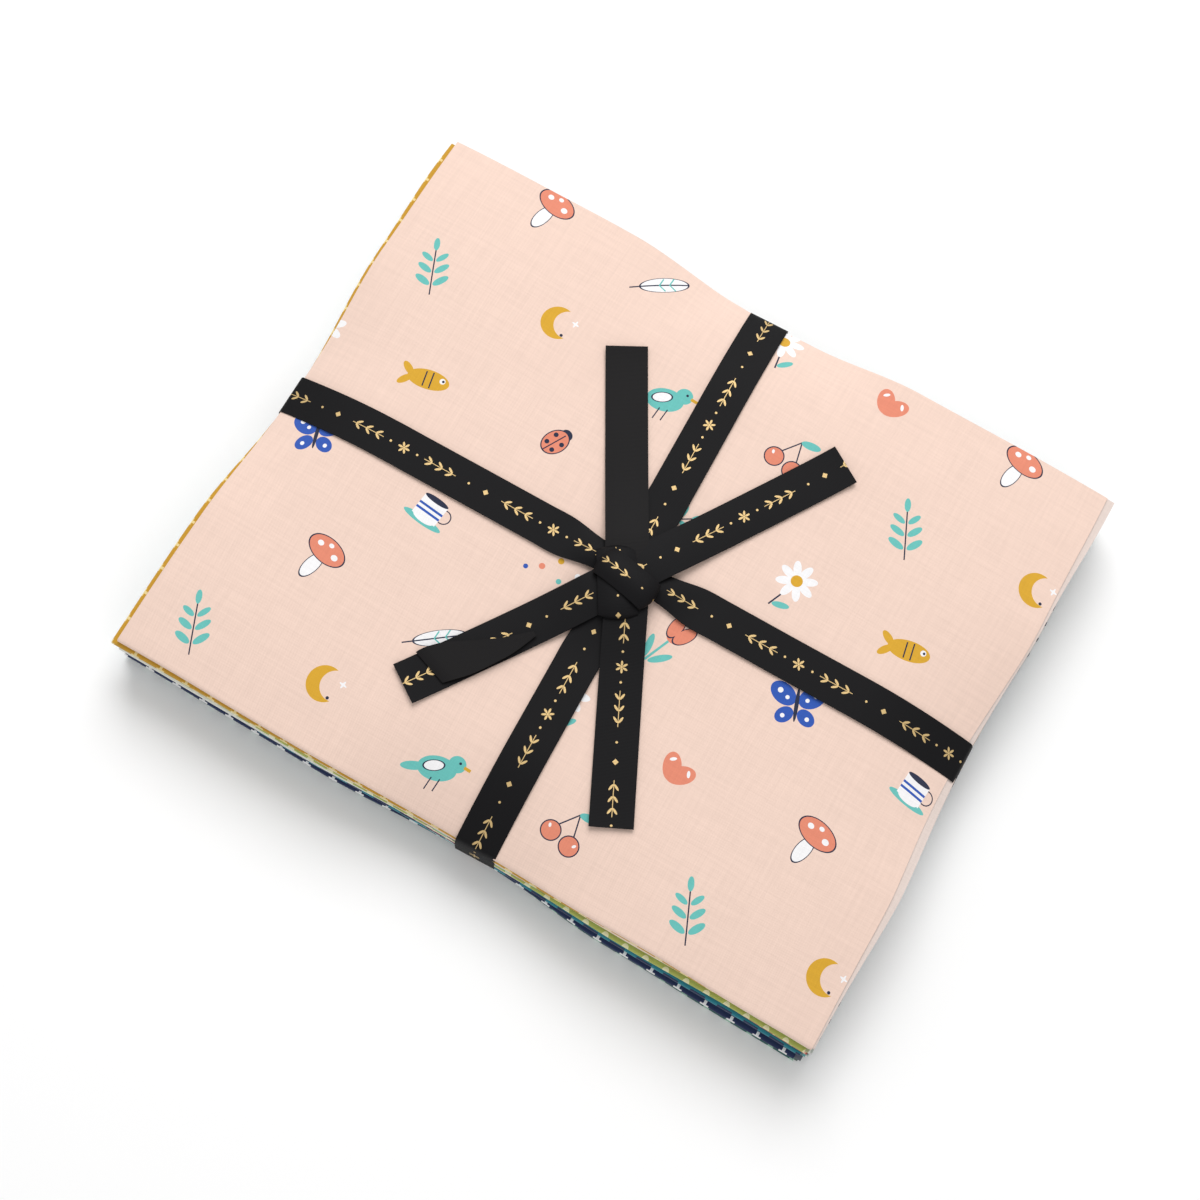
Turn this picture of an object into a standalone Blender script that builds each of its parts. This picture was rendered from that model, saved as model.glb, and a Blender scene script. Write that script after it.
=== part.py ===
"""A fat quarter bundle: twelve folded cuts of quilting cotton, tied both ways with a ribbon.

Metres, +Z up.  The bundle lies flat on z = 0 with the middle of its footprint on the origin and its
long side along X.  Each cut is doubled at the -X edge and folded once more at the -Y edge.  The
doubled cloth is the sheet modelled here, so each quarter is one sheet that runs forward to its -Y
fold and back again, about a millimetre thick and a little apart.  The ribbons squeeze the stack
where they pass over its edges, so every sheet thins and droops there.
"""

import math
from typing import NamedTuple

import bmesh
import bpy
from mathutils import Matrix, Vector

MM = 0.001

# Driving sizes
CUT_LONG = 559 * MM  # a fat quarter is 18 x 22 inches
CUT_SHORT = 457 * MM
HALF_LENGTH = CUT_LONG / 4  # of the folded quarter, along X
HALF_WIDTH = CUT_SHORT / 4  # along Y
STACK_TOP = 31 * MM
GAP = 0.35 * MM  # between sheets, and between any two pieces

RIBBON_WIDTH = 16 * MM
RIBBON_THICK = 1 * MM
RIBBON_BED = RIBBON_THICK + 0.4 * MM  # how far one ribbon beneath lifts the cloth over it

# The pinch of the ribbons on the stack
PINCH_REACH = 60 * MM  # sideways from a ribbon to where the cloth is free of it
EDGE_RUN_X = 45 * MM  # how far in from an end the top begins to droop
EDGE_RUN_Y = 42 * MM
EDGE_DROOP = 2 * MM  # at a free edge
PINCH_DROOP = 8 * MM  # more, beneath a ribbon
PINCH_LIFT = 2.6 * MM  # of the lowest sheet beneath a ribbon's edge
PULL_IN_ENDS = 4 * MM  # how far a ribbon draws the short ends in
PULL_IN_SIDES = 3.5 * MM

# Stations across the stack, as parts of its half length and half width
COLUMNS = (-1.0, -0.8, -0.43, -0.1, 0.1, 0.43, 0.8, 1.0)
ROWS = (-1.0, -0.77, -0.44, -0.122, 0.122, 0.44, 0.77, 1.0)
FOLD_TURN = (-45, 0, 45)  # degrees round a fold
BED_INNER = 14 * MM  # the cloth is level this far from a ribbon's middle
BED_OUTER = 50 * MM  # and back on the table here

# The ribbons and their knot
KNOT_X, KNOT_Y = 4 * MM, -4 * MM
KNOT_LENGTH, KNOT_WIDTH, KNOT_HEIGHT = 26 * MM, 23 * MM, 6.5 * MM
KNOT_RIDGE = 0.9 * MM  # the wrap that crosses the knot from corner to corner
KNOT_CUTS = 5
LONG_BAND_Y = (-4 * MM, 0.5 * MM)  # where the long band crosses the -X and +X ends
SHORT_BAND_X = (6.6 * MM, -2 * MM)  # where the short band crosses the -Y and +Y sides
CROSSING = 12 * MM  # half the stretch where the short band rides over the long one
CROSSING_END = 28 * MM
STRAY_ROOM = 0.25 * MM  # how far uneven edges still sit out beneath a ribbon
FOLD_ROOM = 0.75 * MM  # and how far their front folds round out


class Quarter(NamedTuple):
    """One folded quarter: its colour, and how far each edge sits out from the stack's outline."""

    colour: tuple
    left: float
    right: float
    front: float
    back: float
    skew: float  # how much further out the front is at its right end than in the middle


class Tail(NamedTuple):
    """One free end of ribbon: its bearing from the knot, and its height over the cloth on the way."""

    name: str
    bearing: float
    profile: tuple  # pairs of millimetres from the knot's middle, and millimetres up


QUARTERS = (  # from the lowest to the top one
    Quarter((0.020, 0.110, 0.095), 0.6, -1.2, 1.2, -1.0, 1.8),
    Quarter((0.012, 0.025, 0.085), 1.5, -0.8, 1.5, 0.4, 1.4),
    Quarter((0.480, 0.660, 0.580), -0.9, 1.4, -0.6, 0.9, 0.8),
    Quarter((0.760, 0.750, 0.720), 0.3, 1.9, -1.1, -0.7, 0.6),
    Quarter((0.020, 0.210, 0.260), 1.1, -0.9, 0.9, 1.1, 0.9),
    Quarter((0.420, 0.050, 0.035), -0.7, 0.7, -0.4, -0.5, 0.5),
    Quarter((0.460, 0.540, 0.470), 0.8, 1.1, 0.5, 0.8, -0.4),
    Quarter((0.420, 0.480, 0.110), -0.5, -0.6, 0.8, -0.9, 0.3),
    Quarter((0.150, 0.500, 0.500), 1.9, 0.5, -0.8, 1.0, -0.5),
    Quarter((0.720, 0.250, 0.170), 1.2, -0.4, 0.3, 0.2, -0.6),
    Quarter((0.520, 0.270, 0.020), 1.7, 0.3, 0.7, -0.4, -1.0),
    Quarter((0.740, 0.530, 0.430), -0.4, 0.6, 0.2, 0.5, -0.3),
)
LEVEL = ((15, 3.6), (25, 2.6), (36, 1.9), (60, 0.9), (90, 0.5))
PLEAT = ((15, 3.6), (30, 3.4), (62, 3.4), (70, 3.1), (70.8, 2.6), (70, 2.0), (56, 1.75),
         (55.3, 1.15), (56, 0.5), (72, 0.4), (89, 0.4))
TAILS = (
    Tail("a", 120.4, LEVEL),
    Tail("b", 59.4, LEVEL),
    Tail("c", -63.9, LEVEL),
    Tail("d", -123.1, PLEAT),
)
RIBBON_COLOUR = (0.010, 0.010, 0.012)


def clear_scene():
    for thing in list(bpy.data.objects):
        bpy.data.objects.remove(thing, do_unlink=True)


def add_object(name, mesh_data, colour, roughness):
    mesh = bpy.data.meshes.new(name)
    mesh_data.to_mesh(mesh)
    mesh_data.free()
    material = bpy.data.materials.new(name)
    material.use_nodes = True
    sockets = material.node_tree.nodes["Principled BSDF"].inputs
    sockets["Base Color"].default_value = (*colour, 1)
    sockets["Roughness"].default_value = roughness
    sockets["Metallic"].default_value = 0
    mesh.materials.append(material)
    piece = bpy.data.objects.new(name, mesh)
    bpy.context.scene.collection.objects.link(piece)
    return piece


def split_alike(sheet, place, columns, turn):
    """Cuts the quads into triangles so that both plies of a fold, before and after its turn, are cut
    along the same diagonal of the stack; neighbours then nest without crossing."""
    halves = {"FIXED": [], "ALTERNATE": []}
    for face in sheet.faces:
        row = min(vertex[place] for vertex in face.verts) // columns
        halves["FIXED" if row < turn else "ALTERNATE"].append(face)
    for method, faces in halves.items():
        bmesh.ops.triangulate(sheet, faces=faces, quad_method=method)


def thick_sheet(name, colour, roughness, outer, inner, ring=False):
    """A closed sheet between two surfaces, each a list of rows of points; a ring joins its ends."""
    rows, columns = len(outer), len(outer[0])
    sheet = bmesh.new()
    place = sheet.verts.layers.int.new("place")
    bmesh.ops.create_grid(sheet, x_segments=columns - 1, y_segments=rows - 1, size=1)
    points = [point for row in outer for point in row]
    under = [point for row in inner for point in row]
    for index, vertex in enumerate(sheet.verts):
        vertex[place] = index
        vertex.co = points[index]
    if ring:
        bmesh.ops.remove_doubles(sheet, verts=sheet.verts, dist=0.01 * MM)
    split_alike(sheet, place, columns, turn=rows // 2)
    raised = bmesh.ops.extrude_face_region(sheet, geom=sheet.faces[:])["geom"]
    for vertex in (part for part in raised if isinstance(part, bmesh.types.BMVert)):
        vertex.co = under[vertex[place]]
    bmesh.ops.recalc_face_normals(sheet, faces=sheet.faces)
    return add_object(name, sheet, colour, roughness)


# The shape of the squeezed stack

def pinch(across):
    """How firmly a ribbon that runs at right angles holds the cloth: 1 beneath it, 0 out of reach."""
    near = min(1.0, abs(across) / PINCH_REACH)
    return (1 - near ** 2) ** 2


def edge(along, half, run):
    """0 well inside the stack, 1 at its outline."""
    return max(0.0, (abs(along) - (half - run)) / run) ** 2


def bed(across):
    """1 over a ribbon beneath the stack, falling to 0 where the cloth is back on the table."""
    return min(1.0, max(0.0, (BED_OUTER - abs(across)) / (BED_OUTER - BED_INNER)))


def top_height(x, y):
    ends = edge(x, HALF_LENGTH, EDGE_RUN_X) * (EDGE_DROOP + PINCH_DROOP * pinch(y))
    sides = edge(y, HALF_WIDTH, EDGE_RUN_Y) * (EDGE_DROOP + PINCH_DROOP * pinch(x))
    return STACK_TOP - ends - sides


def bottom_height(x, y):
    ends = edge(x, HALF_LENGTH, EDGE_RUN_X) * pinch(y)
    sides = edge(y, HALF_WIDTH, EDGE_RUN_Y) * pinch(x)
    return RIBBON_BED * (bed(x) + bed(y)) + PINCH_LIFT * (ends + sides)


def quarter_outline(quarter, column, row):
    """Where a station of one quarter lies: only its outermost stations follow its own edges."""
    x, y = column * HALF_LENGTH, row * HALF_WIDTH
    hold_x, hold_y = pinch(x), pinch(y)
    if abs(column) == 1:
        stray = (quarter.left if column < 0 else quarter.right) * MM
        x += column * (stray * (1 - hold_y) - PULL_IN_ENDS * hold_y)
    if abs(row) == 1:
        stray = (quarter.front + quarter.skew * column if row < 0 else quarter.back) * MM
        y += row * (stray * (1 - hold_x) - PULL_IN_SIDES * hold_x)
    return x, y


def fat_quarter(number, quarter):
    """One quarter: its lower ply comes forward to the -Y fold, and its upper ply goes back."""
    def heights(x, y):
        low, high = bottom_height(x, y), top_height(x, y)
        pitch = (high - low + GAP) / len(QUARTERS)
        base = low + (number - 1) * pitch
        return base, base + pitch - GAP

    outer, inner = [], []
    for row in reversed(ROWS):
        places = [quarter_outline(quarter, column, row) for column in COLUMNS]
        outer.append([])
        inner.append([])
        for x, y in places:
            base, roof = heights(x, y)
            outer[-1].append(Vector((x, y, base)))
            inner[-1].append(Vector((x, y, (base + roof - GAP) / 2)))
    front = [quarter_outline(quarter, column, ROWS[0]) for column in COLUMNS]
    for angle in FOLD_TURN:
        forward, lift = math.cos(math.radians(angle)), math.sin(math.radians(angle))
        outer.append([])
        inner.append([])
        for x, y in front:
            base, roof = heights(x, y)
            for rows, radius in ((outer, (roof - base) / 2), (inner, GAP / 2)):
                rows[-1].append(Vector((x, y - radius * forward, (base + roof) / 2 + radius * lift)))
    for row in ROWS:
        places = [quarter_outline(quarter, column, row) for column in COLUMNS]
        outer.append([])
        inner.append([])
        for x, y in places:
            base, roof = heights(x, y)
            outer[-1].append(Vector((x, y, roof)))
            inner[-1].append(Vector((x, y, (base + roof + GAP) / 2)))
    return thick_sheet(f"fat_quarter_{number:02d}", quarter.colour, 0.9, outer, inner)


# The ribbons

def offset_path(path, distance, ring=False):
    """A path in its own plane, moved sideways to its left by a distance, with mitred corners."""
    count = len(path)
    moved = []
    for index, point in enumerate(path):
        before = path[index - 1] if index or ring else point
        after = path[(index + 1) % count] if index < count - 1 or ring else point
        sides = [(b - a).normalized() for a, b in ((before, point), (point, after)) if a != b]
        normal = sum((Vector((-side.y, side.x)) for side in sides), Vector((0, 0))).normalized()
        stretch = normal.dot(Vector((-sides[0].y, sides[0].x)))
        moved.append(point + normal * distance / max(stretch, 0.5))
    return moved


def band_path(half, stations, height, floor, crossing, pull_in, room):
    """The inner face of a ribbon round the stack, anticlockwise: along the bottom, up, and back."""
    step = RIBBON_THICK + GAP
    spots = [station * half for station in stations[1:-1]]
    if crossing:
        spots = sorted(spots + [s * reach for s in (-1, 1) for reach in (CROSSING, CROSSING_END)])
        spots = [spot for spot in spots if abs(abs(spot) - BED_INNER) > 1 * MM]
    ride = [step if crossing and abs(spot) <= CROSSING else 0 for spot in spots]
    end = half - pull_in * pinch(BED_INNER) + room + GAP
    bottom = [Vector((spot, RIBBON_THICK + up)) for spot, up in zip(spots, ride)]
    top = [Vector((spot, height(spot) + GAP + up)) for spot, up in zip(spots, ride)]
    low, high = floor(end) - GAP, height(end) + GAP
    right = [Vector((end, low)), Vector((end, high))]
    left = [Vector((-end, high)), Vector((-end, low))]
    return bottom + right + top[::-1] + left


def ribbon_band(name, path, to_world):
    """A closed loop of ribbon along a path round the stack, at its place across the stack."""
    def rows(points):
        points = points + points[:1]
        return [[to_world(point, side * RIBBON_WIDTH / 2) for side in (-1, 1)] for point in points]

    outside = offset_path(path, -RIBBON_THICK, ring=True)
    return thick_sheet(name, RIBBON_COLOUR, 0.6, rows(outside), rows(path), ring=True)


def slant(ends, share):
    """The place of a ribbon that runs from one side to the other, -1 to 1 of the way."""
    return ends[0] + (ends[1] - ends[0]) * (share + 1) / 2


def long_band():
    path = band_path(
        HALF_LENGTH, COLUMNS, lambda x: top_height(x, BED_INNER), lambda x: bottom_height(x, BED_INNER),
        crossing=False, pull_in=PULL_IN_ENDS, room=STRAY_ROOM,
    )

    def to_world(point, across):
        return Vector((point.x, slant(LONG_BAND_Y, point.x / HALF_LENGTH) + across, point.y))

    return ribbon_band("ribbon_band_long", path, to_world)


def short_band():
    path = band_path(
        HALF_WIDTH, ROWS, lambda y: top_height(BED_INNER, y), lambda y: bottom_height(BED_INNER, y),
        crossing=True, pull_in=PULL_IN_SIDES, room=STRAY_ROOM + FOLD_ROOM,
    )

    def to_world(point, across):
        return Vector((slant(SHORT_BAND_X, point.x / HALF_WIDTH) + across, point.x, point.y))

    return ribbon_band("ribbon_band_short", path, to_world)


def ribbon_tail(tail):
    """A free end, straight out from the knot, following its profile of distance and height."""
    middle = [Vector((out * MM, up * MM + RIBBON_THICK / 2)) for out, up in tail.profile]
    turn = Matrix.Rotation(math.radians(tail.bearing), 4, "Z")
    place = Matrix.Translation((KNOT_X, KNOT_Y, STACK_TOP)) @ turn

    def rows(points):
        return [
            [place @ Vector((point.x, side * RIBBON_WIDTH / 2, point.y)) for side in (-1, 1)]
            for point in points
        ]

    faces = [rows(offset_path(middle, side * RIBBON_THICK / 2)) for side in (-1, 1)]
    return thick_sheet(f"ribbon_tail_{tail.name}", RIBBON_COLOUR, 0.6, *faces)


def ribbon_knot():
    """The knot: a low rounded lump, flat beneath, with one wrap raised across its corners."""
    knot = bmesh.new()
    bmesh.ops.create_cube(knot, size=2)
    bmesh.ops.subdivide_edges(knot, edges=knot.edges, cuts=KNOT_CUTS, use_grid_fill=True)
    for vertex in knot.verts:
        plan = Vector((vertex.co.x, vertex.co.y))
        reach = max(abs(plan.x), abs(plan.y))
        rounded = plan.normalized() * reach if reach else plan
        plan = plan.lerp(rounded, 0.75)
        share = (vertex.co.z + 1) / 2
        shoulder = 1 - 0.12 * share ** 3
        crown = 1 - 0.35 * min(1.0, plan.length) ** 4
        vertex.co.x = plan.x * shoulder * KNOT_LENGTH / 2
        vertex.co.y = plan.y * shoulder * KNOT_WIDTH / 2
        across = abs(vertex.co.x + vertex.co.y) / math.sqrt(2)
        ridge = KNOT_RIDGE if across < RIBBON_WIDTH / 3 else 0
        vertex.co.z = share * (KNOT_HEIGHT * crown + ridge)
    base = STACK_TOP + 2 * (RIBBON_THICK + GAP) + GAP
    bmesh.ops.translate(knot, verts=knot.verts, vec=(KNOT_X, KNOT_Y, base))
    return add_object("ribbon_knot", knot, RIBBON_COLOUR, 0.6)


def centre_footprint(pieces):
    """Moves every mesh alike, so that the middle of the footprint is on the origin."""
    corners = [vertex.co for piece in pieces for vertex in piece.data.vertices]
    middle = [(min(c[axis] for c in corners) + max(c[axis] for c in corners)) / 2 for axis in (0, 1)]
    for piece in pieces:
        piece.data.transform(Matrix.Translation((-middle[0], -middle[1], 0)))


def main():
    clear_scene()
    pieces = [fat_quarter(number, quarter) for number, quarter in enumerate(QUARTERS, start=1)]
    pieces += [long_band(), short_band(), ribbon_knot()]
    pieces += [ribbon_tail(tail) for tail in TAILS]
    centre_footprint(pieces)


main()
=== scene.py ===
import math
import random
from typing import NamedTuple

import bmesh
import bpy
from mathutils import Matrix, Vector, noise


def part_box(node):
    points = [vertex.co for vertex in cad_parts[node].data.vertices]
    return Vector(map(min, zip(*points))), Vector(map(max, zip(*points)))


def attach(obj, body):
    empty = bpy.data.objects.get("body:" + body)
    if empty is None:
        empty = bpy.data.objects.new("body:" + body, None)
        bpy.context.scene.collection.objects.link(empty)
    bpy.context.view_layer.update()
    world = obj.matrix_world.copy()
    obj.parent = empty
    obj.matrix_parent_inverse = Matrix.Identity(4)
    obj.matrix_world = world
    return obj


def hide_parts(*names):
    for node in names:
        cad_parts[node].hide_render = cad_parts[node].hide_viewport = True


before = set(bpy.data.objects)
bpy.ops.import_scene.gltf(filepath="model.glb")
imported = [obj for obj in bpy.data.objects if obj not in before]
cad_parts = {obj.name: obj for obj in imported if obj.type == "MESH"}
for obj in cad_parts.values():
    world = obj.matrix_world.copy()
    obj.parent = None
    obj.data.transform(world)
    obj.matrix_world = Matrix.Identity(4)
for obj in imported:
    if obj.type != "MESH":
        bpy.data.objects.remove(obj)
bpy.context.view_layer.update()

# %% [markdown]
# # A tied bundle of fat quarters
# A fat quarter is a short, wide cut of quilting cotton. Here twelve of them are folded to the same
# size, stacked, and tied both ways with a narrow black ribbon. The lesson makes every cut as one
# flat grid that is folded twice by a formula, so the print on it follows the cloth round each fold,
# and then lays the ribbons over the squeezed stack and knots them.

MM = 0.001
STEADY = random.Random(12)  # seeded, so that every run is the same

# %% [markdown]
# ## The camera and the light
# The camera comes first, because everything else is judged through it. It looks down on the bundle
# from its front right, tipped a little to one side, through a long lens that keeps the cloth's
# edges nearly parallel. A camera's matrix holds its own axes as columns, so the tip is a turn of
# the first two axes about the third.

# %% Camera
STACK_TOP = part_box("fat_quarter_12")[1][2]
CAMERA_AZIMUTH, CAMERA_ELEVATION, CAMERA_TIP = (math.radians(a) for a in (21.24, 73.0, 9.37))
CAMERA_DISTANCE = 745 * MM
CAMERA_AIM = Vector((-0.8 * MM, -14.6 * MM, STACK_TOP))


def place_camera():
    level = math.cos(CAMERA_ELEVATION)
    back = Vector((math.sin(CAMERA_AZIMUTH) * level, -math.cos(CAMERA_AZIMUTH) * level,
                   math.sin(CAMERA_ELEVATION)))
    right = Vector((math.cos(CAMERA_AZIMUTH), math.sin(CAMERA_AZIMUTH), 0))
    turn = Matrix.Rotation(CAMERA_TIP, 3, back)
    axes = [turn @ right, turn @ back.cross(right), back]
    camera = bpy.data.objects.new("camera", bpy.data.cameras.new("camera"))
    bpy.context.scene.collection.objects.link(camera)
    camera.matrix_world = Matrix(axes).transposed().to_4x4()
    camera.location = CAMERA_AIM + back * CAMERA_DISTANCE
    camera.data.lens = 63
    camera.data.sensor_width = 36
    camera.data.clip_start = 10 * MM
    bpy.context.scene.camera = camera
    return camera


print("camera at", [round(v, 3) for v in place_camera().location])

# %% [markdown]
# Soft light is big light. One wide lamp stands behind and above the bundle, so that the cloth
# darkens where it rolls over its front edge, a weaker one fills from the front, and an even pale
# sky lifts the rest. The floor is a plain pale sheet.

# %% Lamps, sky and floor
LAMPS = (  # name, where it stands, its side in metres, its power in watts
    ("key", (-0.35, 0.85, 1.25), 1.1, 17),
    ("fill", (0.7, -0.9, 1.1), 1.4, 3),
)
SKY = 0.56
FLOOR_SIDE = 6.0


def add_lamp(name, place, side, power):
    lamp = bpy.data.lights.new(name, "AREA")
    lamp.shape, lamp.size, lamp.energy = "SQUARE", side, power
    holder = bpy.data.objects.new(name, lamp)
    bpy.context.scene.collection.objects.link(holder)
    holder.location = place
    holder.rotation_euler = (CAMERA_AIM - Vector(place)).to_track_quat("-Z", "Y").to_euler()


def add_floor():
    floor_mesh = bmesh.new()
    bmesh.ops.create_grid(floor_mesh, x_segments=1, y_segments=1, size=FLOOR_SIDE / 2)
    mesh = bpy.data.meshes.new("floor")
    floor_mesh.to_mesh(mesh)
    floor_mesh.free()
    material = bpy.data.materials.new("pale floor")
    material.use_nodes = True
    shader = material.node_tree.nodes["Principled BSDF"]
    shader.inputs["Base Color"].default_value = (0.97, 0.97, 0.97, 1)
    shader.inputs["Roughness"].default_value = 0.9
    mesh.materials.append(material)
    floor = bpy.data.objects.new("floor", mesh)
    bpy.context.scene.collection.objects.link(floor)


for lamp_row in LAMPS:
    add_lamp(*lamp_row)
add_floor()
world = bpy.data.worlds.new("studio")
world.use_nodes = True
world.node_tree.nodes["Background"].inputs["Color"].default_value = (1, 1, 1, 1)
world.node_tree.nodes["Background"].inputs["Strength"].default_value = SKY
bpy.context.scene.world = world
bpy.context.scene.view_settings.view_transform = "Standard"
print(len(LAMPS), "lamps and a sky of strength", SKY)

# %% [markdown]
# ## Shader maths as sums
# A pattern is a lot of arithmetic, and arithmetic reads best as sums. `Wire` wraps one socket of a
# material, and a sum on wires adds the Math nodes for it. `|` joins two masks and `&` crosses them.
# Everything that isn't a plain sum comes from `node`.

# %% Wire
class Wire:
    """A socket in a material's node tree that can be used in sums."""

    def __init__(self, tree, socket):
        self.tree, self.socket = tree, socket

    def node(self, kind, settings=None, inputs=(), output=0):
        made = self.tree.nodes.new(kind)
        for name, value in (settings or {}).items():
            setattr(made, name, value)
        pairs = inputs.items() if isinstance(inputs, dict) else enumerate(inputs)
        for key, value in pairs:
            if isinstance(value, Wire):
                self.tree.links.new(value.socket, made.inputs[key])
            else:
                made.inputs[key].default_value = value
        return Wire(self.tree, made.outputs[output])

    def math(self, operation, *values):
        return self.node("ShaderNodeMath", {"operation": operation}, values)

    def vector(self, operation, *values, output=0):
        return self.node("ShaderNodeVectorMath", {"operation": operation}, values, output)

    def __add__(self, other): return self.math("ADD", self, other)
    def __radd__(self, other): return self.math("ADD", other, self)
    def __sub__(self, other): return self.math("SUBTRACT", self, other)
    def __rsub__(self, other): return self.math("SUBTRACT", other, self)
    def __mul__(self, other): return self.math("MULTIPLY", self, other)
    def __rmul__(self, other): return self.math("MULTIPLY", other, self)
    def __truediv__(self, other): return self.math("DIVIDE", self, other)
    def __lt__(self, other): return self.math("LESS_THAN", self, other)
    def __gt__(self, other): return self.math("GREATER_THAN", self, other)
    def __or__(self, other): return self.math("MAXIMUM", self, other)
    def __and__(self, other): return self.math("MULTIPLY", self, other)

    def near(self, value, reach): return self.math("COMPARE", self, value, reach)
    def sine(self): return self.math("SINE", self)
    def absolute(self): return self.math("ABSOLUTE", self)
    def cosine(self): return self.math("COSINE", self)
    def floor(self): return self.math("FLOOR", self)

    def split(self):
        """The first two numbers of a vector."""
        parts = self.node("ShaderNodeSeparateXYZ", None, (self,))
        return parts, Wire(self.tree, parts.socket.node.outputs[1])

    def repeat(self, period):
        """Counts from -period/2 to period/2 over and over."""
        return self.math("WRAP", self, period / 2, -period / 2)


def blend(mask, under, over):
    """A colour that is `over` where the mask is 1 and `under` where it is 0."""
    colours = {0: mask}
    for slot_number, colour in ((6, under), (7, over)):
        colours[slot_number] = colour if isinstance(colour, Wire) else (*colour, 1)
    return mask.node("ShaderNodeMix", {"data_type": "RGBA"}, colours, output=2)


def start_material(name, roughness, sheen=0.0, gloss=0.5):
    """A new material with its shader's even values set on the shader itself."""
    material = bpy.data.materials.new(name)
    material.use_nodes = True
    shader = material.node_tree.nodes["Principled BSDF"]
    shader.inputs["Roughness"].default_value = roughness
    shader.inputs["Sheen Weight"].default_value = sheen
    shader.inputs["Sheen Roughness"].default_value = 0.6
    shader.inputs["Specular IOR Level"].default_value = gloss
    return material, shader, Wire(material.node_tree, shader.outputs[0])


def feed(shader, name, wire):
    wire.tree.links.new(wire.socket, shader.inputs[name])


print("Wire is ready")

# %% [markdown]
# ## Quilting cotton
# Every cut carries a UV map named `Cloth`, measured in metres on the flat cloth before it is folded,
# so that threads and prints keep their real size and run unbroken round the folds. The threads are
# a plain weave: each crossing is over, then under, which is the product of two sine waves. An
# attribute called `face` is 1 on the printed face and 0 on the paler reverse.

# %% Threads
THREAD = 0.36  # millimetres from one thread to the next
THREAD_DEPTH = 0.05 * MM
PAINTED_WEAVE_SHADE, SLUB_SHADE = 0.035, 0.10  # how much painted shade of the weave's high and low crossings, and the threads' uneven thickness, lighten and darken the colour
SLUB_FINE, SLUB_LONG = 0.9, 0.05  # turns of the noise in a millimetre, across a thread and along it


def cloth_coordinates(wire):
    """The place on the flat cloth in millimetres, as a vector and as its two numbers."""
    uv = wire.node("ShaderNodeUVMap", {"uv_map": "Cloth"})
    place = uv.vector("MULTIPLY", uv, (1 / MM, 1 / MM, 0))
    return (place, *place.split())


def weave_height(across, along):
    """A plain weave in steps of one thread, between -1 and 1."""
    return (across * (math.pi / THREAD)).sine() * (along * (math.pi / THREAD)).sine()


def slubs(place):
    """Threads are never even: thin and thick stretches along both directions."""
    both = [
        place.node("ShaderNodeTexNoise", {"noise_dimensions": "2D"},
                   {"Vector": place.vector("MULTIPLY", place, size), "Scale": 1.0, "Detail": 2.0})
        for size in ((SLUB_FINE, SLUB_LONG, 0), (SLUB_LONG, SLUB_FINE, 0))
    ]
    return both[0] + both[1] - 1.0


def bump(wire, height, distance, strength=1.0):
    return wire.node("ShaderNodeBump", None, {"Height": height, "Distance": distance, "Strength": strength})


def finish_cotton(name, pattern, reverse):
    """A cotton whose face shows a pattern(place, across, along) and whose reverse is one colour."""
    material, shader, wire = start_material(name, roughness=0.86, sheen=0.25, gloss=0.25)
    place, across, along = cloth_coordinates(wire)
    print_colour = pattern(place, across, along)
    face = wire.node("ShaderNodeAttribute", {"attribute_name": "face"}, output=2)
    colour = blend(face > 0.5, reverse, print_colour)
    threads, uneven = weave_height(across, along), slubs(place)
    # Painted shade: the colour is lightened on the weave's high crossings and darkened on its low ones, on
    # top of the bump. It is also lighter where the threads run thick and darker where they run thin.
    weave_shade_and_slub_tone = 1.0 + PAINTED_WEAVE_SHADE * threads + SLUB_SHADE * uneven
    shaded = colour.node("ShaderNodeVectorMath", {"operation": "SCALE"}, {"Vector": colour, "Scale": weave_shade_and_slub_tone})
    feed(shader, "Base Color", shaded)
    feed(shader, "Normal", bump(wire, 0.6 * threads + 1.1 * uneven, THREAD_DEPTH, 0.7))
    return material


print("threads every", THREAD, "mm")

# %% [markdown]
# ## Prints drawn with ellipses
# A printed motif is a short table of strokes: ellipses, their outlines, bars, and rings of petals.
# A Mapping node of the Texture kind moves a stroke's own unit circle onto the cloth, so its mask is
# just `length < 1`.

# %% Strokes
INKS = {
    "peach": (0.815, 0.610, 0.515),
    "white": (0.87, 0.86, 0.87),
    "coral": (0.74, 0.24, 0.15),
    "teal": (0.13, 0.50, 0.46),
    "mustard": (0.66, 0.36, 0.02),
    "royal": (0.020, 0.085, 0.42),
    "navy": (0.012, 0.018, 0.050),
}
OUTLINE = 0.22  # millimetres either side of an outline


class Stroke(NamedTuple):
    """One stroke about its motif's middle, in millimetres and degrees.

    The shape is spot, ring or bar, the same with s2 for a mirrored pair, or petals and their number.
    """
    shape: str
    ink: str
    x: float
    y: float
    long: float
    short: float
    turn: float = 0


def draw(place, stroke):
    """The mask of one stroke about the motif's own middle, everything in millimetres."""
    if stroke.shape.endswith("2"):
        place = place.vector("MULTIPLY", place, (1, 1, 0))
        across, up = place.split()
        place = place.node("ShaderNodeCombineXYZ", None, (across.absolute(), up, 0.0))
    if stroke.shape.startswith("petals"):
        place = fold_round(place, int(stroke.shape[6:]))
    mapped = place.node("ShaderNodeMapping", {"vector_type": "TEXTURE"}, {
        "Vector": place, "Location": (stroke.x, stroke.y, 0),
        "Rotation": (0, 0, math.radians(stroke.turn)), "Scale": (stroke.long / 2, stroke.short / 2, 1),
    })
    if stroke.shape.startswith("bar"):
        across, up = mapped.vector("ABSOLUTE", mapped).split()
        return (across | up) < 1.0
    size = mapped.vector("LENGTH", mapped, output=1)
    if stroke.shape.startswith("ring"):
        return size.near(1.0, OUTLINE * 4 / (stroke.long + stroke.short))
    return size < 1.0


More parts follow.
